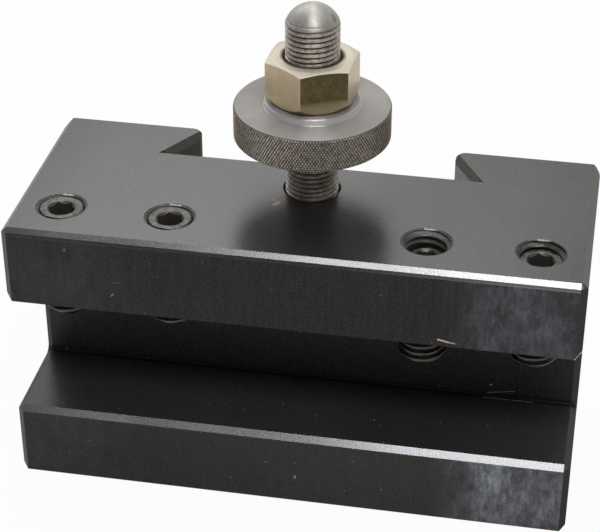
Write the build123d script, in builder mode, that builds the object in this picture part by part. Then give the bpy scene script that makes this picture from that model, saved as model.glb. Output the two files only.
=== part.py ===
from build123d import *
import math
import os

# Lathe tool holder for a quick-change post, in millimetres.
# X runs along the tool, Y points to the tool post, Z is up, and the origin is
# the middle of the underside.

# Block
body_length = 152.4
body_depth = 63.5
top_jaw = 22.225
bottom_jaw = 22.225
slot_height = 34.925
slot_depth = 28.575
slot_corner_radius = 1.0
front_chamfer = 1.5
end_chamfer = 1.7
edge_break = 0.5
back_corner_radius = 4.0

# Dovetail groove in the back, with lips that overhang it
dovetail_depth = 14.29
dovetail_root_width = 84.4
dovetail_angle = 60.0
lip_nose_radius = 3.0
mouth_chamfer = 1.8

# Clamp screws, 1/2 in with 13 threads to the inch, and how far each is sunk and turned
screw_diameter = 12.7
screw_length = 31.5
screw_top_chamfer = 0.8
screw_point_diameter = 7.2
screw_cup_depth = 1.2
screw_hole_countersink_diameter = 13.8
end_to_outer_screw = 12.7
outer_to_inner_screw = 29.5
socket_across_flats = 6.35
socket_depth = 7.0
socket_chamfer = 0.25
screw_sink = (0.5, 0.5, 4.5, 2.2)
socket_turn = (0.0, -14.0, 10.0, -15.0)

# Height stud, 9/16 in with 18 threads to the inch, bottomed in a blind hole
stud_diameter = 14.2875
stud_setback = 36.3
stud_projection = 53.8
stud_engagement = 19.6
stud_dome_radius = 7.6
stud_foot_chamfer = 1.2
stud_hole_countersink = 0.7
drill_point_angle = 118.0

# Height wheel and its hub
wheel_diameter = 41.9
wheel_thickness = 9.0
wheel_edge_chamfer = 0.4
wheel_lift = 16.3
bore_countersink = 0.8
hub_diameter = 25.4
hub_height = 1.8
hub_edge_chamfer = 0.3

# Lock nut, 7/8 in across the flats, chamfered more at its foot than at its top
nut_across_flats = 22.225
nut_height = 12.3
nut_face_diameter = 20.8
nut_foot_angle = 45.0
nut_top_angle = 17.0
nut_bore_countersink = 0.75
nut_turn = 25.6

# Radial clearance of a running thread, and of the stud's tight one
thread_clearance = 0.05
stud_seat_clearance = 0.02

# Levels and places that follow from the sizes above
body_height = bottom_jaw + slot_height + top_jaw
slot_floor = bottom_jaw
slot_roof = bottom_jaw + slot_height
front = -body_depth / 2
slot_wall = front + slot_depth
dovetail_floor = body_depth / 2 - dovetail_depth
screw_row = front + slot_depth / 2
outer_screw_x = body_length / 2 - end_to_outer_screw
inner_screw_x = outer_screw_x - outer_to_inner_screw
screw_x = (-outer_screw_x, -inner_screw_x, inner_screw_x, outer_screw_x)
stud_axis = front + stud_setback
stud_radius = stud_diameter / 2
stud_top = body_height + stud_projection
stud_foot = body_height - stud_engagement
wheel_underside = body_height + wheel_lift
wheel_top = wheel_underside + wheel_thickness
hub_top = wheel_top + hub_height
nut_top = hub_top + nut_height

# The stud, the wheel and the nut are turned about this line
stud_line = Axis((0, stud_axis, 0), (0, 0, 1))
stud_plane = Plane.XZ.offset(-stud_axis)


def groove_corners(grow):
    """Plan of the dovetail groove with its walls moved outwards, run out past the back face."""
    angle = math.radians(dovetail_angle)
    root = dovetail_root_width / 2 + grow / math.sin(angle) + grow / math.tan(angle)
    floor = dovetail_floor - grow
    past_back = floor + body_depth
    mouth = root - body_depth / math.tan(angle)
    return [(-root, floor), (root, floor), (mouth, past_back), (-mouth, past_back)]


# Block: plan with the dovetail groove, whose lips end in rounded noses
with BuildPart() as body:
    with BuildSketch() as plan:
        Rectangle(body_length, body_depth)
        with BuildLine():
            Polyline(*groove_corners(0), close=True)
        make_face(mode=Mode.SUBTRACT)
        lip_tips = plan.vertices().group_by(Axis.Y)[-1].sort_by(Axis.X)[1:-1]
        fillet(lip_tips, lip_nose_radius)
    extrude(amount=body_height)

    # Tool slot, open to the front and to both ends
    with BuildSketch(Plane.YZ) as slot:
        with Locations((slot_wall, (slot_floor + slot_roof) / 2)):
            Rectangle(body_depth, slot_height, align=(Align.MAX, Align.CENTER))
        fillet(slot.vertices().group_by(Axis.X)[-1], slot_corner_radius)
    extrude(amount=body_length, both=True, mode=Mode.SUBTRACT)

    # Chamfer round both end faces, along the slot as well
    end_faces = body.faces().filter_by(Axis.X).sort_by(Axis.X)
    chamfer(end_faces[0].edges() + end_faces[-1].edges(), end_chamfer)

    # Front edges: wide chamfers under the top and on the slot's lower lip, narrow ones elsewhere
    front_edges = body.edges().filter_by(Axis.X).group_by(Axis.Y)[0].sort_by(Axis.Z)
    chamfer([front_edges[1], front_edges[3]], front_chamfer)
    front_edges = body.edges().filter_by(Axis.X).group_by(Axis.Y)[0].sort_by(Axis.Z)
    chamfer([front_edges[0], front_edges[3]], edge_break)

    # Break the top and bottom edges of the back lands, round the lips and into the groove
    for level in (body_height, 0):
        land_faces = body.faces().filter_by(Axis.Y).group_by(Axis.Y)[-1]
        land_edges = land_faces.edges().filter_by(Axis.X).filter_by_position(
            Axis.Z, level - 0.01, level + 0.01
        )
        chamfer(land_edges, edge_break)

    # Lead-in chamfer along the groove's walls, at the top and at the bottom
    for face_level, inner_level in (
        (body_height, body_height - mouth_chamfer),
        (0, mouth_chamfer),
    ):
        with BuildSketch(Plane.XY.offset(face_level)):
            with BuildLine():
                Polyline(*groove_corners(mouth_chamfer), close=True)
            make_face()
        with BuildSketch(Plane.XY.offset(inner_level)):
            with BuildLine():
                Polyline(*groove_corners(0), close=True)
            make_face()
        loft(mode=Mode.SUBTRACT)

    # Round the two upright corners at the back
    corner_x = body_length / 2
    corner_y = body_depth / 2
    with BuildSketch():
        with Locations((-corner_x, corner_y), (corner_x, corner_y)):
            Rectangle(2 * back_corner_radius, 2 * back_corner_radius)
        rounding_x = corner_x - back_corner_radius
        rounding_y = corner_y - back_corner_radius
        with Locations((-rounding_x, rounding_y), (rounding_x, rounding_y)):
            Circle(back_corner_radius, mode=Mode.SUBTRACT)
    extrude(amount=body_height, mode=Mode.SUBTRACT)

    # Tapped holes for the clamp screws, from the top face into the slot
    with Locations(*[(x, screw_row, body_height) for x in screw_x]):
        CounterSinkHole(
            radius=screw_diameter / 2 + thread_clearance,
            counter_sink_radius=screw_hole_countersink_diameter / 2,
            depth=top_jaw + slot_height / 2,
            counter_sink_angle=90,
        )

    # Blind stud hole: the foot of the stud bottoms on the cone that the drill left
    hole_radius = stud_radius + stud_seat_clearance
    foot_radius = stud_radius - stud_foot_chamfer
    cone_slope = math.tan(math.radians(drill_point_angle / 2))
    cone_start = stud_foot + (hole_radius - foot_radius) / cone_slope
    with BuildSketch(stud_plane):
        with BuildLine():
            Polyline(
                (0, body_height),
                (hole_radius + stud_hole_countersink, body_height),
                (hole_radius, body_height - stud_hole_countersink),
                (hole_radius, cone_start),
                (0, cone_start - hole_radius / cone_slope),
                close=True,
            )
        make_face()
    revolve(axis=stud_line, mode=Mode.SUBTRACT)
body.part.label = "holder_body"

# Height stud: domed end, chamfered foot
dome_centre = stud_top - stud_dome_radius
dome_start = math.acos(stud_radius / stud_dome_radius)
with BuildPart() as stud:
    with BuildSketch(stud_plane):
        with BuildLine():
            Polyline(
                (0, stud_top),
                (0, stud_foot),
                (foot_radius, stud_foot),
                (stud_radius, stud_foot + stud_foot_chamfer),
                (stud_radius, dome_centre + stud_dome_radius * math.sin(dome_start)),
            )
            CenterArc(
                (0, dome_centre),
                stud_dome_radius,
                math.degrees(dome_start),
                90 - math.degrees(dome_start),
            )
        make_face()
    revolve(axis=stud_line)
stud.part.label = "height_stud"

# Height wheel: rim, hub and bore turned from one profile
bore_radius = stud_radius + thread_clearance
with BuildPart() as wheel:
    with BuildSketch(stud_plane) as wheel_half:
        with BuildLine():
            Polyline(
                (bore_radius, wheel_underside),
                (wheel_diameter / 2, wheel_underside),
                (wheel_diameter / 2, wheel_top),
                (hub_diameter / 2, wheel_top),
                (hub_diameter / 2, hub_top),
                (bore_radius, hub_top),
                close=True,
            )
        make_face()
        chamfer(wheel_half.vertices().group_by(Axis.X)[-1], wheel_edge_chamfer)
        chamfer(wheel_half.vertices().group_by(Axis.X)[1].sort_by(Axis.Y)[-1], hub_edge_chamfer)
        chamfer(wheel_half.vertices().group_by(Axis.X)[0].sort_by(Axis.Y)[0], bore_countersink)
    revolve(axis=stud_line)
wheel.part.label = "height_wheel"

# Lock nut: hexagon, trimmed by a turned outline with a cone at either end
corner_radius = nut_across_flats / 2 / math.cos(math.radians(30))
corner_cut = corner_radius - nut_face_diameter / 2
foot_drop = corner_cut * math.tan(math.radians(nut_foot_angle))
top_drop = corner_cut * math.tan(math.radians(nut_top_angle))
with BuildPart() as nut:
    with BuildSketch(Plane.XY.offset(hub_top)):
        with Locations((0, stud_axis)):
            RegularPolygon(nut_across_flats / 2, 6, major_radius=False, rotation=nut_turn)
    extrude(amount=nut_height)
    with BuildSketch(stud_plane):
        with BuildLine():
            Polyline(
                (bore_radius + nut_bore_countersink, hub_top),
                (nut_face_diameter / 2, hub_top),
                (corner_radius, hub_top + foot_drop),
                (corner_radius, nut_top - top_drop),
                (nut_face_diameter / 2, nut_top),
                (bore_radius + nut_bore_countersink, nut_top),
                (bore_radius, nut_top - nut_bore_countersink),
                (bore_radius, hub_top + nut_bore_countersink),
                close=True,
            )
        make_face()
    revolve(axis=stud_line, mode=Mode.INTERSECT)
nut.part.label = "lock_nut"

os.makedirs("parts", exist_ok=True)
export_step(body.part, "parts/holder_body.step")
export_step(stud.part, "parts/height_stud.step")
export_step(wheel.part, "parts/height_wheel.step")
export_step(nut.part, "parts/lock_nut.step")

# Clamp screws: hexagon socket at the top, cup point at the bottom
screw_radius = screw_diameter / 2
point_radius = screw_point_diameter / 2
for number, (x, sink, turn) in enumerate(zip(screw_x, screw_sink, socket_turn), start=1):
    screw_top = body_height - sink
    screw_point = screw_top - screw_length
    with BuildPart() as screw:
        with BuildSketch(Plane.XZ.offset(-screw_row)):
            with BuildLine():
                Polyline(
                    (x, screw_top),
                    (x, screw_point + screw_cup_depth),
                    (x + point_radius, screw_point),
                    (x + screw_radius, screw_point + screw_radius - point_radius),
                    (x + screw_radius, screw_top - screw_top_chamfer),
                    (x + screw_radius - screw_top_chamfer, screw_top),
                    close=True,
                )
            make_face()
        revolve(axis=Axis((x, screw_row, 0), (0, 0, 1)))
        with BuildSketch(Plane.XY.offset(screw_top)):
            with Locations((x, screw_row)):
                RegularPolygon(
                    socket_across_flats / 2, 6, major_radius=False, rotation=90 + turn
                )
        extrude(amount=-socket_depth, mode=Mode.SUBTRACT)
        socket_rim = screw.edges().group_by(Axis.Z)[-1].filter_by(GeomType.LINE)
        chamfer(socket_rim, socket_chamfer)
    screw.part.label = f"clamp_screw_{number}"
    export_step(screw.part, f"parts/clamp_screw_{number}.step")
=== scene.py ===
import math
from functools import reduce
import bmesh
import bpy
from mathutils import Matrix, Vector


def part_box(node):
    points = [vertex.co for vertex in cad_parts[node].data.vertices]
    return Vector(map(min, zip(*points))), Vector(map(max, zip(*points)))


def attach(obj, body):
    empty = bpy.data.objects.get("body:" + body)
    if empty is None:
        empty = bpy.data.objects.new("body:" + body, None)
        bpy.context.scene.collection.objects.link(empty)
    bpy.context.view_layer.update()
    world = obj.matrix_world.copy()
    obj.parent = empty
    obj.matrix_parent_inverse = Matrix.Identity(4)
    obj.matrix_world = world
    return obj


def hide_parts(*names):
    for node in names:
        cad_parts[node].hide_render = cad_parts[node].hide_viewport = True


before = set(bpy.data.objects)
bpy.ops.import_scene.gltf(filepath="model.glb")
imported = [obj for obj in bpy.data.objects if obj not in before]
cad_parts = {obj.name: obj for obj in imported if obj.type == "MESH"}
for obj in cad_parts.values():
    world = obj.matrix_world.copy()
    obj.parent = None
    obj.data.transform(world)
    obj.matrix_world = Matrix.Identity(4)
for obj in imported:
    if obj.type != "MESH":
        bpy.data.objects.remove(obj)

mm = 0.001
full_turn = 2 * math.pi
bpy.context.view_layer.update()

# Camera of the photograph: its place in mm, its angles in degrees, its lens and sensor, how near
# and far it sees in mm, and where the lens's own line meets a picture of 600 by 532
camera_place = (76.0682, -422.5659, 329.7349)
camera_yaw = 9.7957
camera_pitch = 32.6974
camera_roll = 0.4012
camera_lens = 111.267
sensor_width = 36
near_clip = 20
far_clip = 50000
picture_width = 600
picture_height = 532
lens_line = (320, 275)

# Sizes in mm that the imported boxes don't give
screw_pitch = 25.4 / 13
stud_pitch = 25.4 / 18
thread_clearance = 0.05
screw_end_chamfer = 0.8
screw_point_radius = 3.6
screw_cup_radius = 3.24
screw_cup_depth = 1.2
screw_crest_depth = 1.2
socket_across_flats = 6.35
socket_mouth_radius = 3.85
socket_depth = 7.0
socket_drill_depth = 1.2
countersink_radius = 6.9
slot_roof = 57.15
slot_floor = 22.225
slot_wall = -3.175
front_chamfer = 1.5
end_chamfer = 1.7
dovetail_depth = 14.29
dovetail_width = 84.4
stud_dome_radius = 7.6
stud_foot_chamfer = 1.2
stud_runout = 1.2
hub_radius = 12.7
hub_height = 1.8
hub_edge = 0.3
hub_root_width = 0.25
hub_root_height = 0.2
rim_edge = 0.4
bore_edge = 0.8
nut_bore_edge = 0.75

# Flats on the stud's crests and roots as shares of its pitch, and the turns of the sockets and
# of the nut in degrees
stud_flats = {"crest": 0.34, "root": 0.16}
socket_turn = {1: 0.0, 2: -14.0, 3: 10.0, 4: -15.0}
nut_turn = 25.6

# Meshes of the tapped threads in mm: how far behind the bored wall their roots and their sleeves
# lie, and how far they stay inside the faces where the hole comes out
tapped_root = 0.03
sleeve_depth = 0.2
roof_gap = 0.02
nut_foot_gap = 0.1
mouth_gap = 0.3

# Knurl of the wheel: diamonds round the rim, rows across it, and the depth of the grooves in mm
knurl_diamonds = 164
knurl_rows = 13
knurl_depth = 0.28

# Points round a thread, rings up the stud's dome, and the distances in m at which points merge
thread_columns = 72
dome_steps = 12
weld = 2e-6
sliver = 1e-6


class Box:
    """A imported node's box in mm: radius and axis of a turned piece, and its levels."""

    def __init__(self, node):
        low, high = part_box(node)
        self.low = low / mm
        self.high = high / mm
        self.x = (self.low.x + self.high.x) / 2
        self.y = (self.low.y + self.high.y) / 2
        self.radius = (self.high.x - self.low.x) / 2
        self.foot = self.low.z
        self.top = self.high.z


block = Box("holder_body")
stud = Box("height_stud")
wheel = Box("height_wheel")
nut = Box("lock_nut")
screws = {n: Box(f"clamp_screw_{n}") for n in socket_turn}
dome_middle = stud.top - stud_dome_radius
dome_level = dome_middle + math.sqrt(stud_dome_radius ** 2 - stud.radius ** 2)


# Shapes

def loft(rings):
    """Faces between rings of as many points each; a ring of one point is a pole."""
    points = []
    faces = []
    starts = []
    for ring in rings:
        starts.append(len(points))
        points.extend(ring)
    for a, b in zip(range(len(rings) - 1), range(1, len(rings))):
        n = max(len(rings[a]), len(rings[b]))
        for i in range(n):
            j = (i + 1) % n
            corners = [starts[a] + i % len(rings[a]), starts[a] + j % len(rings[a]),
                       starts[b] + j % len(rings[b]), starts[b] + i % len(rings[b])]
            face = list(dict.fromkeys(corners))
            if len(face) > 2:
                faces.append(face)
    return points, faces


def circle(radius, level, count, start=0.0):
    """A ring of points in mm round the axis. radius and level may be functions of the angle."""
    ring = []
    for i in range(count):
        angle = start + full_turn * i / count
        r = radius(angle) if callable(radius) else radius
        z = level(angle) if callable(level) else level
        ring.append((r * math.cos(angle), r * math.sin(angle), z))
    return ring


def cone(radius, place):
    """Outline of a 45-degree countersink or point: that radius at one level, less below it."""
    def outline(level):
        return radius - (place - level)
    return outline


def thread_depth(share, pitch, crest, root):
    """Depth of a 60-degree thread below its crest, share of a pitch away from the crest's middle.
    crest and root are the shares of the pitch that are flat."""
    away = abs((share + 0.5) % 1 - 0.5)
    slope = math.tan(math.radians(30))
    return pitch * min(max(away - crest / 2, 0.0), 0.5 - crest / 2 - root / 2) / slope


def helix(radius, pitch, phase, foot, top, start=0.0, shape=min, bound=None, skin=None,
          crest=1 / 8, root=1 / 4):
    """A right-hand thread between two levels, with its crest at level phase where it starts round.
    bound(level) is the outline that the thread is turned to, and skin the radius that it keeps
    within. It gives the points and faces, and the rings that close the two ends."""
    def point(share, level):
        r = radius - thread_depth((level - phase) / pitch - share, pitch, crest, root)
        if bound is not None:
            r = shape(r, bound(level))
        if skin is not None:
            r = min(r, skin)
        angle = start + full_turn * share
        return (r * math.cos(angle), r * math.sin(angle), level)

    crest_edge, root_edge = crest / 2, 0.5 - root / 2
    steps = (-crest_edge, crest_edge, (crest_edge + root_edge) / 2, root_edge, 0.5, 1 - root_edge,
             1 - (crest_edge + root_edge) / 2)
    first = math.floor((foot - phase) / pitch) - 2
    last = math.ceil((top - phase) / pitch) + 2
    shares = [i / thread_columns for i in range(thread_columns + 1)]
    points = []
    for turn in range(first, last):
        for step in steps:
            for share in shares:
                level = phase + pitch * (turn + step + share)
                points.append(point(share, min(max(level, foot), top)))
    faces = []
    width = len(shares)
    for row in range(0, len(points) - width, width):
        for corner in range(row, row + thread_columns):
            face = [corner, corner + 1, corner + 1 + width, corner + width]
            levels = [points[c][2] for c in face]
            if max(levels) > foot and min(levels) < top:
                faces.append(face)
    ends = [[point(share, level) for share in shares[:-1]] for level in (foot, top)]
    return points, faces, ends


def tapped_thread(radius, pitch, phase, foot, top, mouth, **flats):
    """The thread inside a hole for a piece of that radius, closed by a sleeve behind its wall."""
    bored = radius + thread_clearance
    wall = bored + tapped_root
    points, faces, (foot_ring, top_ring) = helix(
        bored, pitch, phase, foot, top, shape=max, bound=mouth, skin=wall, **flats)
    sleeve = [circle(wall + sleeve_depth, level, thread_columns) for level in (foot, top)]
    return [(points, faces), loft([foot_ring, *sleeve, top_ring])]


def piece(name, parts, box, body, material, node=None, sharp=32):
    """One object made of lists of points and faces in mm round the box's axis, merged and shaded."""
    points = []
    faces = []
    for part_points, part_faces in parts:
        base = len(points)
        points.extend(((x + box.x) * mm, (y + box.y) * mm, z * mm) for x, y, z in part_points)
        faces.extend([base + c for c in face] for face in part_faces)
    mesh = bpy.data.meshes.new(name)
    mesh.from_pydata(points, [], faces)
    work = bmesh.new()
    work.from_mesh(mesh)
    bmesh.ops.remove_doubles(work, verts=work.verts, dist=weld)
    bmesh.ops.dissolve_degenerate(work, edges=work.edges, dist=sliver)
    bmesh.ops.recalc_face_normals(work, faces=work.faces)
    work.to_mesh(mesh)
    work.free()
    mesh.shade_smooth()
    mesh.set_sharp_from_angle(angle=math.radians(sharp))
    made = bpy.data.objects.new(name, mesh)
    bpy.context.scene.collection.objects.link(made)
    mesh.materials.append(material)
    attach(made, body)
    if node:
        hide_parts(node)


# Shares of a face's normal along an axis at which a mask comes in or goes out: on level, upward,
# sloped and squarely facing faces, the block's ends, the groove's walls and the narrow facet
level_in = (0.9, 0.97)
upward = (0.5, 0.9)
sloped_in = (0.60, 0.66)
sloped_out = (0.84, 0.78)
squarely = (0.97, 0.995)
end_in = (0.4, 0.6)
flank_in = (0.6, 0.8)
narrow_in = (0.2, 0.3)
narrow_out = (0.6, 0.5)


# Calls for shader nodes

class Nodes:
    """Short calls for the nodes of one tree. What they take is a socket or a plain value."""

    def __init__(self, tree):
        self.tree = tree

    def node(self, kind, **settings):
        made = self.tree.nodes.new(kind)
        for name, value in settings.items():
            setattr(made, name, value)
        return made

    def link(self, output, socket):
        self.tree.links.new(output, socket)

    def feed(self, value, socket):
        if isinstance(value, bpy.types.NodeSocket):
            self.link(value, socket)
        else:
            socket.default_value = value

    def maths(self, operation, a, b=None):
        made = self.node("ShaderNodeMath", operation=operation)
        self.feed(a, made.inputs[0])
        if b is not None:
            self.feed(b, made.inputs[1])
        return made.outputs[0]

    def absolute(self, value):
        return self.maths("ABSOLUTE", value)

    def product(self, *values):
        return reduce(lambda a, b: self.maths("MULTIPLY", a, b), values)

    def add(self, *values):
        return reduce(lambda a, b: self.maths("ADD", a, b), values)

    def most(self, *values):
        return reduce(lambda a, b: self.maths("MAXIMUM", a, b), values)

    def least(self, *values):
        return reduce(lambda a, b: self.maths("MINIMUM", a, b), values)

    def span(self, value, low, high, out_low=0.0, out_high=1.0, smooth=False):
        """out_low where the value is low, out_high where it is high, and evenly between them."""
        made = self.node("ShaderNodeMapRange")
        if smooth:
            made.interpolation_type = "SMOOTHSTEP"
        for socket, item in zip(("Value", "From Min", "From Max", "To Min", "To Max"),
                                (value, low, high, out_low, out_high)):
            self.feed(item, made.inputs[socket])
        return made.outputs["Result"]

    def axes(self, vector):
        made = self.node("ShaderNodeSeparateXYZ")
        self.link(vector, made.inputs[0])
        return made.outputs

    def vector(self, operation, a, b=None):
        made = self.node("ShaderNodeVectorMath", operation=operation)
        self.feed(a, made.inputs[0])
        if b is not None:
            self.feed(b, made.inputs[1])
        return made.outputs["Value" if operation in ("DOT_PRODUCT", "LENGTH") else "Vector"]

    def scaled(self, vector, amount):
        made = self.node("ShaderNodeVectorMath", operation="SCALE")
        self.feed(vector, made.inputs[0])
        self.feed(amount, made.inputs["Scale"])
        return made.outputs["Vector"]


class Shade(Nodes):
    """A metal's material on object coordinates in mm."""

    def __init__(self, name, **constants):
        self.material = bpy.data.materials.new(name)
        self.material.use_nodes = True
        super().__init__(self.material.node_tree)
        self.shader = self.tree.nodes["Principled BSDF"]
        for socket, value in constants.items():
            self.shader.inputs[socket.replace("_", " ")].default_value = value
        self.place = self.scaled(self.node("ShaderNodeTexCoord").outputs["Object"], 1 / mm)
        self.normal = self.node("ShaderNodeNewGeometry").outputs["Normal"]

    def noise(self, scale, detail, roughness, stretch=(1, 1, 1)):
        """Noise of about that many blotches to the mm, drawn out along an axis by a low stretch."""
        made = self.node("ShaderNodeTexNoise")
        self.link(self.vector("MULTIPLY", self.place, stretch), made.inputs["Vector"])
        for socket, value in (("Scale", scale), ("Detail", detail), ("Roughness", roughness)):
            made.inputs[socket].default_value = value
        return made.outputs["Fac"]

    def rings(self, away, scale):
        """Turned rings, as a noise that changes only with the distance from the axis."""
        made = self.node("ShaderNodeTexNoise", noise_dimensions="1D")
        self.link(self.product(away, scale), made.inputs["W"])
        return made.outputs["Fac"]

    def cells(self, scale):
        """Distance from the nearest of scattered points, and a chance of its own for each."""
        made = self.node("ShaderNodeTexVoronoi")
        self.link(self.place, made.inputs["Vector"])
        made.inputs["Scale"].default_value = scale
        return made.outputs["Distance"], self.axes(made.outputs["Color"])[0]

    def vary(self, noise, low=0.0, high=1.0, spread=0.2):
        """low to high as the noise rises through its middle."""
        return self.span(noise, 0.5 - spread, 0.5 + spread, low, high)

    def above(self, value, level, fade=0.1):
        """1 where the value is over that level, falling to 0 over the fade below it."""
        return self.span(value, level - fade, level)

    def below(self, value, level, fade=0.1):
        """1 where the value is under that level, falling to 0 over the fade above it."""
        return self.span(value, level + fade, level)

    def between(self, mask, low, high):
        """low where the mask is 0, high where it is 1."""
        return self.span(mask, 0, 1, low, high)

    def without(self, mask):
        return self.between(mask, 1.0, 0.0)

    def sloped(self, lean):
        """1 on faces at about 45 degrees to an axis; lean is the normal's share along it."""
        return self.product(self.span(lean, *sloped_in), self.span(lean, *sloped_out))

    def facing(self, angle):
        """1 on upright faces that look towards that angle round Z, in degrees."""
        way = math.radians(angle)
        lean = self.vector("DOT_PRODUCT", self.normal, (math.cos(way), math.sin(way), 0))
        return self.span(lean, *squarely)

    def blend(self, factor, a, b):
        """Colour a where the factor is 0, colour b where it is 1."""
        made = self.node("ShaderNodeMix", data_type="RGBA")
        self.feed(factor, made.inputs["Factor"])
        for item, socket in ((a, made.inputs[6]), (b, made.inputs[7])):
            self.feed(item if isinstance(item, bpy.types.NodeSocket) else (*item, 1.0), socket)
        return made.outputs[2]

    def blend_vector(self, factor, a, b):
        made = self.node("ShaderNodeMix", data_type="VECTOR")
        for item, socket in ((factor, "Factor"), (a, 4), (b, 5)):
            self.feed(item, made.inputs[socket])
        return made.outputs[1]

    def glaze(self, colour, amount, tint):
        """That colour with an amount of the tint added to it."""
        added = self.node("ShaderNodeMix", data_type="RGBA", blend_type="ADD")
        added.inputs["Factor"].default_value = 1
        self.link(colour, added.inputs[6])
        self.link(self.scaled(tint, amount), added.inputs[7])
        return added.outputs[2]

    def reach(self, *boxes):
        """Distance in mm from the upright axis of the nearest box."""
        away = [self.vector("SUBTRACT", self.place, (box.x, box.y, 0)) for box in boxes]
        level = [self.vector("MULTIPLY", vector, (1, 1, 0)) for vector in away]
        return self.least(*(self.vector("LENGTH", vector) for vector in level))

    def stroke(self, start, end, width):
        """A mark of that width along a straight line between two places in mm."""
        start = Vector(start)
        run = Vector(end) - start
        away = self.vector("SUBTRACT", self.place, start)
        along = self.vector("DOT_PRODUCT", away, run / run.length_squared)
        nearest = self.scaled(run, self.span(along, 0, 1))
        distance = self.vector("LENGTH", self.vector("SUBTRACT", away, nearest))
        return self.span(distance, width / 2, width / 4)

    def edges(self, radius):
        """The normal rounded over edges, and how far it is turned from the face's own."""
        bevel = self.node("ShaderNodeBevel", samples=6)
        bevel.inputs["Radius"].default_value = radius * mm
        turned_by = self.vector("DOT_PRODUCT", bevel.outputs[0], self.normal)
        return bevel.outputs[0], self.span(turned_by, 1.0, 0.9)

    def bump(self, height, distance, strength, normal):
        """The normal with that height raised on it, by a distance in mm."""
        made = self.node("ShaderNodeBump")
        made.inputs["Strength"].default_value = strength
        self.feed(distance * mm if isinstance(distance, float) else self.product(distance, mm),
                  made.inputs["Distance"])
        self.link(height, made.inputs["Height"])
        self.link(normal, made.inputs["Normal"])
        return made.outputs[0]

    def finish(self, colour, roughness, normal, metal):
        for value, socket in ((colour, "Base Color"), (roughness, "Roughness"),
                              (normal, "Normal"), (metal, "Metallic")):
            self.feed(value, self.shader.inputs[socket])
        return self.material


def grey(share):
    return (share, share, share)


# Where the kinds of faces of the block start and end, in mm: its end chamfers, the dovetail
# groove, the bands that hold the chamfers of the top and the front, the rounded inner corner of
# the slot and the margin round its faces, and the stretch of the top with the countersinks
end_start = block.high.x - end_chamfer
groove_start = block.high.y - dovetail_depth
groove_side = dovetail_width / 2
top_band = block.high.z - 2.0
front_band = block.low.y + 2.0
slot_round = 0.9
margin = 0.3
sinks_front = -29
sinks_back = 0
sinks_side = 72

# Stretches along the block, in mm from its middle, over which a tone comes in or goes out
over_middle = (-10, 10)
over_right = (15, 60)
over_left = (-50, 0)
over_hole_4 = (52, 44)
bloom_start = (38, 58)
bloom_end = (76, 60)
bloom_left = (-30, -60)
# Painted shade: under_top_shade on the flats under the top, the top_shade stretches on the top itself
under_top_shade = (-70, -20)
top_shade_start = (8, 22)
top_shade_end = (56, 36)
top_shade_left = (-58, -74)
# Painted highlight on the front chamfers over the next three stretches, painted shade over the last
chamfer_highlight_top = ((-34, 0), (26, 8))
chamfer_highlight_lower = ((6, 31), (30, 80))
chamfer_highlight_left = ((-74, -60), (-41, -46))
chamfer_shade_left = (-62, -74)

# Marks of use on the block, one also a painted highlight: where each starts and ends in mm, how wide it is,
# and its colour
front_face = block.low.y
copper = (0.70, 0.43, 0.27)
rust = (0.42, 0.28, 0.17)
block_marks = [
    ((39.4, front_face, 59.1), (42.0, front_face, 58.55), 0.65, copper),
    ((42.0, front_face, 58.55), (43.9, front_face, 58.35), 0.55, copper),
    ((50.0, slot_wall - 1.0, slot_floor), (63.9, slot_wall - 1.0, slot_floor), 0.34, grey(0.40)),
    ((51.3, slot_wall, 23.2), (58.8, slot_wall, 24.6), 0.26, grey(0.34)),
    ((52.0, slot_wall, 26.0), (52.2, slot_wall, 26.1), 0.55, (0.50, 0.50, 0.48)),
    # a rubbed corner at the upper jaw's lower right end, drawn as a painted white highlight line
    ((74.5, front_face, slot_roof), (76.2, -30.05, 58.85), 0.60, grey(0.80)),
    ((-8.2, -6.3, block.top), (-7.4, -4.9, block.top), 1.5, rust),
    ((-8.9, -3.9, block.top), (-8.7, -3.7, block.top), 0.7, rust),
    ((-47.0, front_face, 61.9), (-46.4, front_face, 62.7), 0.55, grey(0.22)),
    ((-58.9, front_face, 74.8), (-58.7, front_face, 75.1), 0.60, (0.16, 0.17, 0.19)),
    ((-46.5, front_face, 66.4), (-44.2, front_face, 66.2), 0.40, grey(0.07)),
    ((1.9, front_face, 8.3), (2.1, front_face, 8.9), 0.65, (0.36, 0.30, 0.18)),
]

# Painted highlights: glints painted behind the screws, on the lips of their countersinks: half their
# length, how far they lie behind the screw's axis and under the top, their width, and their colour
glint_half = 1.4
glint_back = 6.5
glint_drop = 0.3
glint_width = 0.6
glint_colour = (0.55, 0.55, 0.54)


def painted_glint(box):
    y, z = box.y + glint_back, block.high.z - glint_drop
    return (box.x - glint_half, y, z), (box.x + glint_half, y, z), glint_width, glint_colour


# Colours of the block's bare faces. A pair runs from dark to pale with the grain, and left and right are the
# two sides of the dovetail groove and the two ends; each left and right colour is a lit or shaded copy of
# one steel, painted light and painted shade
hole_steel = ((0.085, 0.080, 0.072), (0.17, 0.16, 0.145))
hole_4_steel = (0.035, 0.032, 0.029)
shaded_left_flank = ((0.045, 0.043, 0.036), (0.085, 0.082, 0.070))
lit_right_flank = ((0.20, 0.20, 0.19), (0.25, 0.25, 0.235))
shaded_left_mouth = ((0.045, 0.043, 0.036), (0.10, 0.096, 0.082))
lit_right_mouth = ((0.062, 0.060, 0.055), (0.11, 0.106, 0.096))
lit_left_top_end, shaded_right_top_end = (0.26, 0.26, 0.235), (0.16, 0.155, 0.140)
lit_left_upright, shaded_right_upright = (0.17, 0.17, 0.14), (0.055, 0.050, 0.042)
sink_groove, sink_dark, sink_pale = (0.06, 0.059, 0.057), grey(0.07), grey(0.24)
# Painted shade: the slot's rounded inner corner is coloured nearly black
corner_painted_shade = grey(0.003)


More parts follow.
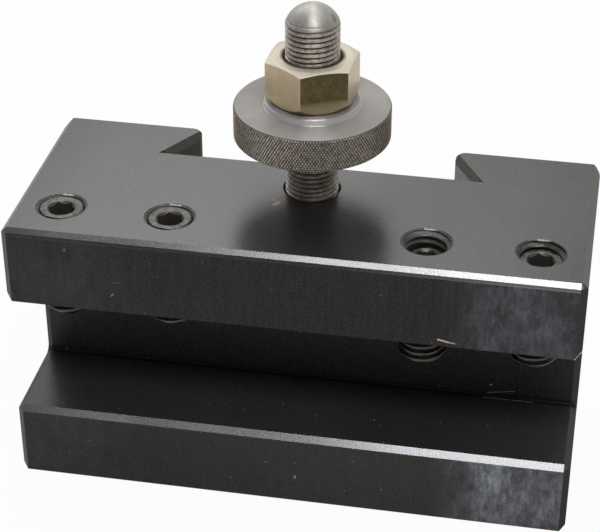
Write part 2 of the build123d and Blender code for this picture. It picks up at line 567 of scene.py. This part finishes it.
class BlackOxide(Shade):
    """Blackened steel of the block: ground satin flats, paler cut chamfers and nearly black sides."""

    def __init__(self):
        super().__init__("black_oxide", IOR=1.32)
        self.x, self.y, self.z = self.axes(self.place)
        self.outward = self.absolute(self.x)
        self.cloud = self.noise(0.03, 4, 0.6)
        self.grain = self.noise(3.0, 2, 0.6)
        self.fine = self.noise(1.6, 3, 0.6)
        self.hole = self.reach(*screws.values())
        self.turning = self.rings(self.hole, 4.0)
        self.rounded, self.worn = self.edges(0.18)
        self.right_hand = self.span(self.x, *over_middle)
        self.find_faces()
        self.find_chamfers()

    def find_faces(self):
        """Masks, each 1 on one kind of the block's faces, or in one band of them."""
        normal = self.axes(self.normal)
        self.level = self.absolute(normal["Z"])
        self.steep = self.absolute(normal["X"])
        self.flat = self.span(self.level, *level_in)
        self.upright_end = self.span(self.steep, *end_in)
        self.at_top = self.above(self.z, block.high.z - 1.0, 1.0)
        self.upper = self.above(self.z, top_band)
        self.lower = self.below(self.z, slot_floor, 1.0)
        self.front = self.below(self.y, block.low.y + 0.05)
        self.back = self.most(self.above(self.y, block.high.y - 0.2),
                              self.above(self.outward, block.high.x - 0.2))
        self.corner = self.product(self.above(self.y, slot_wall - slot_round, margin),
                                   self.below(self.y, slot_wall + margin),
                                   self.above(self.z, slot_floor - 0.5, 0.5),
                                   self.below(self.z, slot_floor + slot_round, margin))
        self.slot = self.product(self.without(self.corner),
                                 self.below(self.y, slot_wall + 0.2),
                                 self.above(self.y, block.low.y + 1.0, 0.5),
                                 self.above(self.z, slot_floor + margin, margin),
                                 self.below(self.z, slot_roof - margin, margin),
                                 self.below(self.outward, end_start - 0.1))
        self.flank = self.product(self.span(self.steep, *flank_in), self.above(self.y, groove_start, 0.4),
                                  self.below(self.outward, groove_side + 0.1, 0.2))
        self.tapped = self.product(self.below(self.hole, countersink_radius - 0.5),
                                   self.above(self.z, slot_roof + 0.5, 0.5))

    def find_chamfers(self):
        """Masks, each 1 on one kind of the block's chamfers."""
        among_sinks = self.product(self.above(self.y, sinks_front, 1.0),
                                   self.below(self.outward, sinks_side, 0.5))
        sinks = self.product(self.upper, self.below(self.y, sinks_back), among_sinks)
        nose = self.product(self.below(self.y, front_band), self.below(self.x, end_start - 0.15))
        self.top_end = self.product(self.upper, self.above(self.outward, end_start),
                                    self.above(self.y, block.low.y + 1.8, 0.2))
        self.cut = self.product(self.sloped(self.level), self.most(nose, sinks, self.top_end))
        self.sink = self.product(self.cut, among_sinks)
        self.upright_cut = self.product(self.sloped(self.steep), self.above(self.outward, end_start),
                                        self.below(self.y, front_band))
        self.groove_mouth = self.product(self.upper, self.sloped(self.level),
                                         self.above(self.y, groove_start, 0.4),
                                         self.below(self.outward, groove_side + 2.0, 0.2))
        self.narrow = self.product(nose, self.span(self.level, *narrow_in),
                                   self.span(self.level, *narrow_out))
        upper_rim = self.above(self.z, block.high.z - front_chamfer - 0.1, 0.6)
        lower_rim = self.above(self.z, slot_floor - front_chamfer - 0.1, 0.6)
        self.rim = self.product(self.front, self.most(upper_rim, self.product(lower_rim, self.lower)))
        self.lip = self.product(self.upper, self.below(self.hole, countersink_radius + 0.2),
                                self.above(self.hole, countersink_radius - 0.2))

    def bloom(self):
        """How much blue lies on the front: most at its right end and on the lower jaw."""
        blotch = self.noise(0.20, 6, 0.68, (1, 1, 0.6))
        smear = self.noise(0.9, 3, 0.6, (1, 1, 0.35))
        right = self.product(self.span(self.x, *bloom_start, smooth=True),
                             self.span(self.x, *bloom_end, 0.55, 1.0),
                             self.vary(blotch, 0.25, 1.5, 0.16), self.vary(smear, 0.5, 1.5, 0.15),
                             self.between(self.lower, 0.046, 0.125))
        left = self.product(self.span(self.x, *bloom_left, smooth=True), self.span(blotch, 0.3, 0.6))
        return self.product(self.front, self.add(right, self.product(left, 0.014)))

    def haze(self):
        """How much grey lies on the sides: in the slot, on the lower jaw, and under the chamfers, where it
        is a painted sheen that grows to the right.
        """
        brushed = self.noise(1.3, 3, 0.6, (1, 1, 0.06))
        return self.add(self.product(self.narrow, self.span(self.x, *over_right, 0.02, 0.105)),
                        # painted sheen along the tops of the front faces, stronger to the right
                        self.product(self.rim, self.span(self.x, *over_right, 0.008, 0.025)),
                        self.product(self.front, self.lower, self.span(self.x, *over_left, 0.006, 0.017)),
                        self.product(self.slot, 0.015),
                        self.vary(self.grain, -0.001, 0.017, 0.10),
                        self.span(brushed, 0.35, 0.7, -0.002, 0.005))

    def sides(self):
        """The oxide itself, nearly black, with its bloom and haze."""
        dark, pale = (0.0020, 0.0018, 0.0014), (0.0050, 0.0047, 0.0042)
        blue_tint, grey_tint = (0.92, 0.97, 1.14), (1.01, 0.99, 0.965)
        colour = self.blend(self.span(self.cloud, 0.35, 0.7), dark, pale)
        colour = self.glaze(colour, self.bloom(), blue_tint)
        return self.glaze(colour, self.haze(), grey_tint)

    def ground_flats(self):
        """The ground top with painted shade in two places, and painted shade on the flats under it."""
        satin, pale = (0.068, 0.067, 0.066), (0.080, 0.080, 0.079)
        dark, speckle = grey(0.02), grey(0.145)
        colour = self.blend(self.vary(self.cloud), satin, pale)
        colour = self.blend(self.vary(self.grain, 0.0, 0.5, 0.12), colour, speckle)
        # painted shade on the flats under the top, deepest at the left
        shade_under_top = self.product(self.without(self.at_top), self.span(self.x, *under_top_shade, 0.72, 0.5))
        colour = self.blend(shade_under_top, colour, dark)
        # painted shade on a stretch right of the middle of the top and at its left end
        middle_shade = self.product(self.span(self.x, *top_shade_start, 0.0, 0.25),
                              self.span(self.x, *top_shade_end))
        left = self.span(self.x, *top_shade_left, 0.0, 0.2)
        return self.blend(self.add(middle_shade, left), colour, dark)

    def grained(self, colours):
        return self.blend(self.vary(self.grain), *colours)

    def top_chamfers(self):
        """The front chamfers of both jaws, lighter where the photograph's light falls on them."""
        steel, light = (0.165, 0.167, 0.172), (0.215, 0.218, 0.225)
        bright, dull = (0.275, 0.280, 0.290), (0.08, 0.08, 0.082)
        upper_light = self.product(self.upper, *(self.span(self.x, *part) for part in chamfer_highlight_top))
        rise, fall = chamfer_highlight_lower
        lower_light = self.product(self.lower, self.span(self.x, *rise), self.span(self.x, *fall, 1.0, 0.45))
        left_light = self.product(self.lower, *(self.span(self.x, *part) for part in chamfer_highlight_left), 0.5)
        left_shade = self.product(self.upper, self.span(self.x, *chamfer_shade_left, 0.0, 0.45))
        colour = self.blend(upper_light, steel, light)
        colour = self.blend(lower_light, colour, bright)
        colour = self.blend(left_light, colour, bright)
        return self.blend(left_shade, colour, dull)

    def steel(self, colour):
        """That colour with the ground, cut and tapped faces laid over it."""
        tapped = self.blend(self.span(self.x, *over_hole_4), hole_4_steel, self.grained(hole_steel))
        # left and right copies of the flanks, mouths and end chamfers: painted light and painted shade
        flank = self.blend(self.right_hand, self.grained(shaded_left_flank), self.grained(lit_right_flank))
        mouth = self.blend(self.right_hand, self.grained(shaded_left_mouth), self.grained(lit_right_mouth))
        top_end = self.blend(self.right_hand, lit_left_top_end, shaded_right_top_end)
        upright = self.blend(self.right_hand, lit_left_upright, shaded_right_upright)
        sink = self.blend(self.vary(self.fine, spread=0.15), sink_dark, sink_pale)
        layers = ((self.flat, self.ground_flats()),
                  (self.corner, corner_painted_shade),
                  (self.tapped, tapped),
                  (self.flank, flank),
                  (self.groove_mouth, mouth),
                  (self.cut, self.blend(self.top_end, self.top_chamfers(), top_end)),
                  (self.upright_cut, upright),
                  (self.sink, self.blend(self.vary(self.turning, spread=0.15), sink_groove, sink)))
        for mask, layer in layers:
            colour = self.blend(mask, colour, layer)
        return colour

    def bare_metal(self):
        """How far each face shows metal through the oxide."""
        flats = self.product(self.flat, self.between(self.at_top, 0.55, 0.9))
        tapped = self.product(self.tapped, self.without(self.cut))
        shares = ((self.flank, 0.9), (self.groove_mouth, 0.9), (self.upright_cut, 0.8), (tapped, 0.6))
        return self.add(flats, self.cut, *(self.product(mask, share) for mask, share in shares))

    def wear(self, colour, metal):
        """Colour and metal with rubbed edges, dust, the nicks and scratches of use, and painted glints
        behind the screws.
        """
        rubbed_steel, dust_grey = (0.34, 0.34, 0.35), (0.40, 0.38, 0.35)
        rubbed = self.product(self.worn, self.between(self.lip, 0.06, 0.5))
        colour = self.blend(rubbed, colour, rubbed_steel)
        spot, spot_chance = self.cells(0.11)
        dust, dust_chance = self.cells(0.5)
        speck = self.most(self.product(self.span(spot, 0.030, 0.018), self.span(spot_chance, 0.60, 0.62)),
                          self.product(self.span(dust, 0.12, 0.05), self.span(dust_chance, 0.91, 0.92)))
        under_roof = self.below(self.z, slot_roof - margin, margin)
        colour = self.blend(self.product(speck, self.between(under_roof, 0.35, 0.85)), colour, dust_grey)
        metal = self.blend(speck, metal, grey(0))
        broken = self.span(self.noise(0.9, 2, 0.5), 0.32, 0.46)
        uneven = self.product(broken, self.span(self.fine, 0.34, 0.5, 0.4, 1.0))
        # the marks of use, and the painted glints behind the screws
        for start, end, width, shade in block_marks + [painted_glint(box) for box in screws.values()]:
            mark = self.product(self.stroke(start, end, width), uneven)
            colour = self.blend(mark, colour, shade)
            metal = self.blend(mark, metal, grey(0))
        return colour, metal

    def gloss(self):
        """Roughness: most on the upright ends and in the slot's corner, with drawn lines behind."""
        drawn = self.noise(2.0, 3, 0.6, (0.04, 0.04, 1))
        ends = self.product(self.upright_end,
                            self.span(self.y, block.low.y + 2, block.low.y + 1.8, 0.2, 0.45))
        return self.add(self.vary(self.cloud, 0.25, 0.31), self.vary(self.grain, -0.04, 0.06), ends,
                        self.product(self.corner, 0.3),
                        self.product(self.back, self.vary(drawn, -0.06, 0.08)))

    def relief(self):
        """Fine grain, less on the flats and chamfers, and turned marks in the countersinks."""
        calm = self.least(self.between(self.cut, 1.0, 0.004), self.between(self.flat, 0.026, 0.016))
        crisp = self.blend_vector(self.cut, self.rounded, self.normal)
        grained = self.bump(self.fine, calm, 0.6, crisp)
        turned_marks = self.product(self.sink, self.add(self.turning, self.fine))
        return self.bump(turned_marks, 0.08, 0.8, grained)


def black_oxide():
    s = BlackOxide()
    colour, metal = s.wear(s.steel(s.sides()), s.bare_metal())
    return s.finish(colour, s.gloss(), s.relief(), metal)


def turned(name, anisotropy):
    """A metal whose gloss is drawn out across turning rings round its upright axis."""
    s = Shade(name, Metallic=1.0, Anisotropic=anisotropy, Anisotropic_Rotation=0.25)
    tangent = s.node("ShaderNodeTangent", direction_type="RADIAL", axis="Z")
    s.link(tangent.outputs[0], s.shader.inputs["Tangent"])
    return s


def stud_metal():
    """Turned steel: bright crests over dark roots, browned towards the dome and pitted on it."""
    bright_depth, dark_depth = 0.40, 0.62
    dome_foot, dome_start = dome_level - 0.9, dome_level + 0.1
    brown_start, brown_full = dome_level + 2.6, dome_level - 0.2
    stain_start = (stud.x + 5.6, stud.y - 1.2, stud.top - 1.6)
    stain_end = (stud.x + 6.0, stud.y - 1.6, stud.top - 3.0)
    stain_width = 2.0
    root, bright, warm = (0.045, 0.032, 0.023), (0.60, 0.58, 0.545), (0.50, 0.475, 0.435)
    brown, dome_steel, dirt = (0.28, 0.20, 0.13), (0.30, 0.287, 0.268), (0.17, 0.13, 0.095)
    pitted, stained = (0.16, 0.145, 0.125), (0.10, 0.08, 0.05)
    s = turned("stud_steel", 0.62)
    z = s.axes(s.place)[2]
    away = s.reach(stud)
    cloud = s.noise(0.5, 4, 0.6)
    fine = s.noise(2.4, 3, 0.6)
    rings = s.noise(5.0, 2, 0.5, (0.03, 0.03, 1))
    rounded = s.edges(0.06)[0]
    dome = s.span(z, dome_foot, dome_start)
    crest = s.most(s.span(away, stud.radius - dark_depth, stud.radius - bright_depth), dome)
    steel = s.blend(s.vary(cloud), bright, warm)
    browned = s.product(s.span(z, brown_start, brown_full), s.span(cloud, 0.35, 0.7, 0.15, 0.6))
    steel = s.blend(browned, steel, brown)
    steel = s.blend(s.product(dome, 0.6), steel, dome_steel)
    grime = s.product(s.span(s.noise(1.0, 4, 0.7), 0.48, 0.68, 0.0, 0.65), s.without(dome))
    steel = s.blend(grime, steel, dirt)
    pits = s.product(dome, s.span(s.noise(2.6, 3, 0.7), 0.42, 0.66, 0.0, 0.4))
    steel = s.blend(pits, steel, pitted)
    colour = s.blend(crest, root, steel)
    stain = s.stroke(stain_start, stain_end, stain_width)
    colour = s.blend(s.product(stain, s.span(fine, 0.35, 0.55), 0.8), colour, stained)
    roughness = s.add(s.vary(fine, 0.42, 0.54), s.between(crest, 0.15, 0.0))
    normal = s.bump(rings, 0.010, 0.5, s.bump(fine, 0.006, 0.5, rounded))
    return s.finish(colour, roughness, normal, 0.88)


def wheel_metal():
    """Turned steel with edges painted bright as wear and highlight, a paler hub painted lighter on its side
    and darker on its top, dirt in the grooves of the knurl, and painted shadow on the knurl's right side.
    """
    pale, dull, edge_steel = (0.305, 0.29, 0.275), (0.27, 0.255, 0.242), (0.47, 0.455, 0.44)
    dirt, peak_steel = (0.10, 0.082, 0.064), (0.90, 0.83, 0.73)
    lit_hub_side, shaded_hub_top = (0.56, 0.545, 0.53), (0.26, 0.245, 0.235)
    shadow_start, shadow_full = wheel.x + 8, wheel.x + 18
    s = turned("wheel_steel", 0.95)
    lift = s.axes(s.normal)[2]
    away = s.reach(wheel)
    cloud = s.noise(0.25, 4, 0.6)
    fine = s.noise(2.4, 3, 0.6)
    rounded, worn = s.edges(0.08)
    side = s.product(s.span(s.absolute(lift), 0.65, 0.50), s.above(away, wheel.radius - 0.5))
    off_side = s.without(side)
    # painted shadow: the knurl darkens towards its right side
    painted_shadow = s.span(s.axes(s.place)[0], shadow_start, shadow_full, 0.0, 0.45)
    peak = s.span(away, wheel.radius - knurl_depth, wheel.radius - 0.02)
    knurled = s.blend(peak, dirt, peak_steel)
    knurled = s.blend(s.span(s.noise(0.9, 4, 0.75), 0.46, 0.66, 0.0, 0.7), knurled, dirt)
    knurled = s.blend(painted_shadow, knurled, dirt)
    hub = s.below(away, hub_radius + 0.15, 0.2)
    steel = s.blend(s.vary(cloud), pale, dull)
    # painted light and shade: the hub's side is lighter and its top darker
    steel = s.blend(hub, steel, s.blend(s.span(lift, *upward), lit_hub_side, shaded_hub_top))
    colour = s.blend(side, steel, knurled)
    # edges painted brighter: partly wear, partly painted highlight
    edge = s.product(s.span(lift, 0.35, 0.5), s.span(lift, 0.92, 0.85), off_side)
    colour = s.blend(s.most(edge, s.product(worn, 0.5, off_side)), colour, edge_steel)
    roughness = s.add(s.vary(fine, 0.56, 0.66), s.between(side, 0.0, 0.05), s.product(edge, -0.15))
    normal = s.bump(s.rings(away, 6.0), 0.006, 0.5, s.bump(fine, 0.005, 0.5, rounded))
    return s.finish(colour, roughness, normal, s.most(s.between(side, 0.35, 1.0), s.product(edge, 0.85)))


def screw_metal():
    """Dark steel with worn edges and darker sockets."""
    pale, dark, edge_steel = (0.125, 0.120, 0.112), (0.052, 0.050, 0.045), (0.46, 0.43, 0.37)
    socket_dark, socket_pale = (0.035, 0.032, 0.029), (0.075, 0.068, 0.060)
    s = Shade("screw_steel", Metallic=1.0)
    cloud = s.noise(0.7, 4, 0.65)
    fine = s.noise(2.4, 3, 0.6)
    rounded, worn = s.edges(0.16)
    inside = s.product(s.below(s.reach(*screws.values()), socket_mouth_radius - 0.1),
                       s.above(s.axes(s.place)[2], slot_roof + 1, 1.0))
    colour = s.blend(s.vary(cloud, spread=0.15), pale, dark)
    colour = s.blend(s.product(worn, 0.6), colour, edge_steel)
    colour = s.blend(inside, colour, s.blend(cloud, socket_dark, socket_pale))
    return s.finish(colour, s.vary(fine, 0.34, 0.46), s.bump(fine, 0.016, 0.6, rounded),
                    s.between(inside, 1.0, 0.3))


def nut_metal():
    """Yellowish plating on hexagon bar, with a brown bore, a painted dark reflection on one flat, painted
    shade on another, and edges painted lighter as worn plating and highlight.
    """
    yellow, brass, top_steel = (0.68, 0.56, 0.375), (0.60, 0.48, 0.31), (0.50, 0.455, 0.375)
    dull, reflection_olive, edge_steel = (0.30, 0.25, 0.15), (0.075, 0.058, 0.025), (0.78, 0.71, 0.57)
    bore_brown = (0.075, 0.040, 0.028)
    reflection_foot, reflection_full = nut.foot + 1.5, nut.foot + 4.5
    shaded_flat, reflecting_flat = nut_turn - 30, nut_turn - 90
    s = Shade("plated_nut", Metallic=1.0)
    cloud = s.noise(0.35, 3, 0.55)
    drawn = s.noise(2.2, 3, 0.6, (1, 1, 0.05))
    fine = s.noise(2.6, 2, 0.5)
    mottle = s.noise(0.55, 2, 0.5)
    rounded, worn = s.edges(0.22)
    top = s.span(s.axes(s.normal)[2], *upward)
    colour = s.blend(s.vary(cloud), yellow, brass)
    colour = s.blend(top, colour, top_steel)
    # painted shade on the flat that faces right
    colour = s.blend(s.product(s.facing(shaded_flat), 0.3), colour, dull)
    # painted reflection: one flat darkened to olive, less towards its foot
    flat_dark_reflection = s.product(s.facing(reflecting_flat),
                        s.span(s.axes(s.place)[2], reflection_foot, reflection_full, 0.35, 1.0),
                        s.span(mottle, 0.35, 0.7, 1.0, 0.94), s.span(fine, 0.5, 0.75, 1.0, 0.9))
    colour = s.blend(flat_dark_reflection, colour, reflection_olive)
    # edges painted lighter: partly worn plating, partly painted highlight
    colour = s.blend(s.product(worn, 0.8), colour, edge_steel)
    uneven = s.add(s.reach(nut), s.product(cloud, 0.8))
    colour = s.blend(s.below(uneven, stud.radius + nut_bore_edge + 0.5, 0.8), colour, bore_brown)
    roughness = s.add(s.vary(fine, 0.28, 0.34), s.vary(drawn, -0.02, 0.03), s.between(top, 0.0, 0.24))
    return s.finish(colour, roughness, s.bump(drawn, 0.004, 0.5, rounded), s.between(top, 1.0, 0.55))


oxide = black_oxide()
stud_steel = stud_metal()
wheel_steel = wheel_metal()
screw_steel = screw_metal()
plated = nut_metal()


# Block and nut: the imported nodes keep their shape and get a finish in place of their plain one

def dress(node, material):
    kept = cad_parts[node]
    kept.data.materials.clear()
    kept.data.materials.append(material)


dress("holder_body", oxide)
dress("lock_nut", plated)


# Height stud: one thread from its foot to its dome

def stud_outline(level):
    above = max(level - dome_middle, 0.0)
    dome = math.sqrt(max(stud_dome_radius ** 2 - above ** 2, 0.0))
    foot = stud.radius - stud_foot_chamfer + (level - stud.foot)
    return min(dome, foot)


def dome_rings(first, start):
    """Rings from the thread's end, at the angle start above the dome's middle, up to its pole."""
    rings = [first]
    for step in range(1, dome_steps):
        lift = start + (math.pi / 2 - start) * step / dome_steps
        rings.append(circle(stud_dome_radius * math.cos(lift),
                            dome_middle + stud_dome_radius * math.sin(lift), thread_columns))
    return rings + [[(0, 0, stud.top)]]


thread_end = dome_middle + math.sqrt(stud_dome_radius ** 2 - (stud.radius - stud_runout) ** 2)
points, faces, (foot_ring, top_ring) = helix(
    stud.radius, stud_pitch, stud.top, stud.foot, thread_end, bound=stud_outline, **stud_flats)
dome = dome_rings(top_ring, math.asin((thread_end - dome_middle) / stud_dome_radius))
piece("stud_thread", [(points, faces), loft(dome), loft([foot_ring, [(0, 0, stud.foot)]])],
      stud, "holder", stud_steel, "height_stud")


# Clamp screws, and the threads of the holes they run in

def hexagon(turn):
    """The socket's radius as a function of the angle round its axis."""
    half = socket_across_flats / 2
    side = math.radians(60)

    def radius(angle):
        return half / math.cos((angle - turn) % side - side / 2)
    return radius


def screw_outline(box):
    crown = box.radius - screw_end_chamfer
    point = cone(screw_point_radius, box.foot)

    def outline(level):
        return min(crown + (box.top - level), point(level))
    return outline


def screw_parts(box, turn, phase):
    """The thread of a set screw, its hexagon socket and its cup point."""
    points, faces, (foot_ring, top_ring) = helix(
        box.radius, screw_pitch, phase + screw_pitch * turn / full_turn, box.foot, box.top,
        start=turn, bound=screw_outline(box))
    flats = hexagon(turn)

    def ring(radius, level):
        return circle(radius, level, thread_columns, turn)

    socket = [top_ring,
              ring(socket_mouth_radius, box.top),
              ring(flats, lambda angle: box.top - (socket_mouth_radius - flats(angle))),
              ring(flats, box.top - socket_depth),
              [(0, 0, box.top - socket_depth - socket_drill_depth)]]
    cup = [foot_ring, ring(screw_cup_radius, box.foot), [(0, 0, box.foot + screw_cup_depth)]]
    return [(points, faces), loft(socket), loft(cup)]


first_crest = block.top - screw_crest_depth
for number, box in screws.items():
    screw = f"clamp_screw_{number}"
    piece(f"screw_thread_{number}", screw_parts(box, math.radians(socket_turn[number]), first_crest),
          box, screw, screw_steel, screw)
    tapped = tapped_thread(box.radius, screw_pitch, first_crest, slot_roof + roof_gap,
                           block.top - mouth_gap, cone(countersink_radius, block.top))
    piece(f"hole_thread_{number}", tapped, box, "holder", oxide)

# Lock nut: the thread in its bore
nut_mouth = cone(stud.radius + thread_clearance + nut_bore_edge, nut.top)
nut_thread = tapped_thread(stud.radius, stud_pitch, stud.top, nut.foot + nut_foot_gap,
                           nut.top - mouth_gap, nut_mouth, **stud_flats)
piece("nut_thread", nut_thread, stud, "lock_nut", plated)

# Height wheel: knurled rim, turned faces and hub
rim_columns = 2 * knurl_diamonds
rim_foot = wheel.foot + rim_edge
face_level = wheel.top - hub_height
rim_top = face_level - rim_edge


def knurl_row(row):
    level = rim_foot + (rim_top - rim_foot) * row / (knurl_rows - 1)
    ring = []
    for i in range(rim_columns):
        angle = full_turn * i / rim_columns
        r = wheel.radius - (knurl_depth if (i + row) % 2 else 0.0)
        ring.append((r * math.cos(angle), r * math.sin(angle), level))
    return ring


def knurl():
    """Rows of peaks and groove crossings, cut along the grooves, so that each diamond is a pyramid."""
    rows = [knurl_row(r) for r in range(knurl_rows)]
    points = [p for row in rows for p in row]
    faces = []
    for r in range(knurl_rows - 1):
        for i in range(rim_columns):
            j = (i + 1) % rim_columns
            a, b = r * rim_columns + i, r * rim_columns + j
            c, d = b + rim_columns, a + rim_columns
            if (i + r) % 2:
                faces += [[a, b, c], [a, c, d]]
            else:
                faces += [[a, b, d], [b, c, d]]
    return points, faces, rows[0], rows[-1]


def wheel_faces(rim_low, rim_high):
    """From the upper edge of the knurl over the hub and down the bore to the lower edge."""
    bore = stud.radius + thread_clearance
    rim = wheel.radius - rim_edge
    outline = [(rim, face_level), (hub_radius + hub_root_width, face_level),
               (hub_radius, face_level + hub_root_height), (hub_radius, wheel.top - hub_edge),
               (hub_radius - hub_edge, wheel.top), (bore, wheel.top),
               (bore, wheel.foot + bore_edge), (bore + bore_edge, wheel.foot), (rim, wheel.foot)]
    return loft([rim_high, *(circle(radius, level, rim_columns) for radius, level in outline), rim_low])


knurl_points, knurl_faces, rim_low, rim_high = knurl()
piece("knurled_wheel", [(knurl_points, knurl_faces), wheel_faces(rim_low, rim_high)], stud,
      "height_wheel", wheel_steel, "height_wheel", sharp=24)


def add_camera():
    """The camera of the photograph."""
    yaw, pitch, roll = (math.radians(a) for a in (camera_yaw, camera_pitch, camera_roll))
    forward = Vector((-math.sin(yaw) * math.cos(pitch), math.cos(yaw) * math.cos(pitch), -math.sin(pitch)))
    right = Vector((math.cos(yaw), math.sin(yaw), 0))
    up = right.cross(forward)
    side = right * math.cos(roll) + up * math.sin(roll)
    head = up * math.cos(roll) - right * math.sin(roll)
    data = bpy.data.cameras.new("camera")
    data.sensor_width = sensor_width
    data.sensor_fit = "HORIZONTAL"
    data.lens = camera_lens
    data.shift_x = (picture_width / 2 - lens_line[0]) / picture_width
    data.shift_y = (lens_line[1] - picture_height / 2) / picture_width
    data.clip_start = near_clip * mm
    data.clip_end = far_clip * mm
    camera = bpy.data.objects.new("camera", data)
    turn = Matrix((side, head, -forward)).transposed()
    camera.matrix_world = Matrix.Translation(Vector(camera_place) * mm) @ turn.to_4x4()
    bpy.context.scene.collection.objects.link(camera)
    bpy.context.scene.camera = camera


# Floor, room and lamps, in m

floor_half = 4.0
floor_colour = grey(0.62)
floor_seen_share = 0.95
floor_mirrored_share = 0.25
room_edge = 0.7
room_front = 0.25
room_back = 0.8
lamp_aim = Vector((0, 0, 0.05))


def floor():
    """A matt floor, which looks white to the camera and partly white in what mirrors it."""
    corners = [(-floor_half, -floor_half, 0), (floor_half, -floor_half, 0),
               (floor_half, floor_half, 0), (-floor_half, floor_half, 0)]
    mesh = bpy.data.meshes.new("floor")
    mesh.from_pydata(corners, [], [(0, 1, 2, 3)])
    made = bpy.data.objects.new("floor", mesh)
    bpy.context.scene.collection.objects.link(made)
    material = bpy.data.materials.new("floor")
    material.use_nodes = True
    s = Nodes(material.node_tree)
    s.tree.nodes.remove(s.tree.nodes["Principled BSDF"])
    matt = s.node("ShaderNodeBsdfDiffuse")
    matt.inputs["Color"].default_value = (*floor_colour, 1)
    white = s.node("ShaderNodeEmission")
    rays = s.node("ShaderNodeLightPath").outputs
    mirrored = s.most(rays["Is Glossy Ray"], rays["Is Transmission Ray"])
    share = s.add(s.product(rays["Is Camera Ray"], floor_seen_share),
                  s.product(mirrored, floor_mirrored_share))
    mix = s.node("ShaderNodeMixShader")
    for output, socket in zip((share, matt.outputs[0], white.outputs[0]), mix.inputs):
        s.link(output, socket)
    s.link(mix.outputs[0], s.tree.nodes["Material Output"].inputs["Surface"])
    mesh.materials.append(material)


def room():
    """A grey room, brighter behind the object than in front of it, and white to the camera."""
    world = bpy.data.worlds.new("room")
    world.use_nodes = True
    s = Nodes(world.node_tree)
    sky = s.tree.nodes["Background"]
    sky.inputs["Color"].default_value = (1, 1, 1, 1)
    depth = s.axes(s.node("ShaderNodeTexCoord").outputs["Generated"])["Y"]
    fade = s.span(depth, -room_edge, room_edge, room_front, room_back)
    seen = s.node("ShaderNodeLightPath").outputs["Is Camera Ray"]
    s.link(s.most(fade, seen), sky.inputs["Strength"])
    bpy.context.scene.world = world


def lamp(name, azimuth, elevation, distance, size, radiance, roll=0.0):
    """A soft box of that radiance, seen from the object at an azimuth from the front, towards +X."""
    width, height = size
    across, lift = math.radians(azimuth), math.radians(elevation)
    data = bpy.data.lights.new(name, "AREA")
    data.shape = "RECTANGLE"
    data.size = width
    data.size_y = height
    data.energy = radiance * math.pi * width * height
    made = bpy.data.objects.new(name, data)
    way = Vector((math.sin(across) * math.cos(lift), -math.cos(across) * math.cos(lift), math.sin(lift)))
    level = Vector((0, 0, 1)).cross(way).normalized()
    turn = Matrix((level, way.cross(level), way)).transposed() @ Matrix.Rotation(math.radians(roll), 3, "Z")
    made.matrix_world = Matrix.Translation(lamp_aim + way * distance) @ turn.to_4x4()
    made.visible_camera = False
    bpy.context.scene.collection.objects.link(made)


add_camera()
floor()
room()
lamp("back_box", azimuth=-153.5, elevation=42, distance=1.6, size=(1.2, 0.75), radiance=1.9)
lamp("top_box", azimuth=180, elevation=72, distance=1.4, size=(1.0, 0.7), radiance=2.6)
lamp("front_box", azimuth=19, elevation=56, distance=0.9, size=(0.50, 0.22), radiance=12.0, roll=-28)

bpy.context.scene.view_settings.view_transform = "Standard"
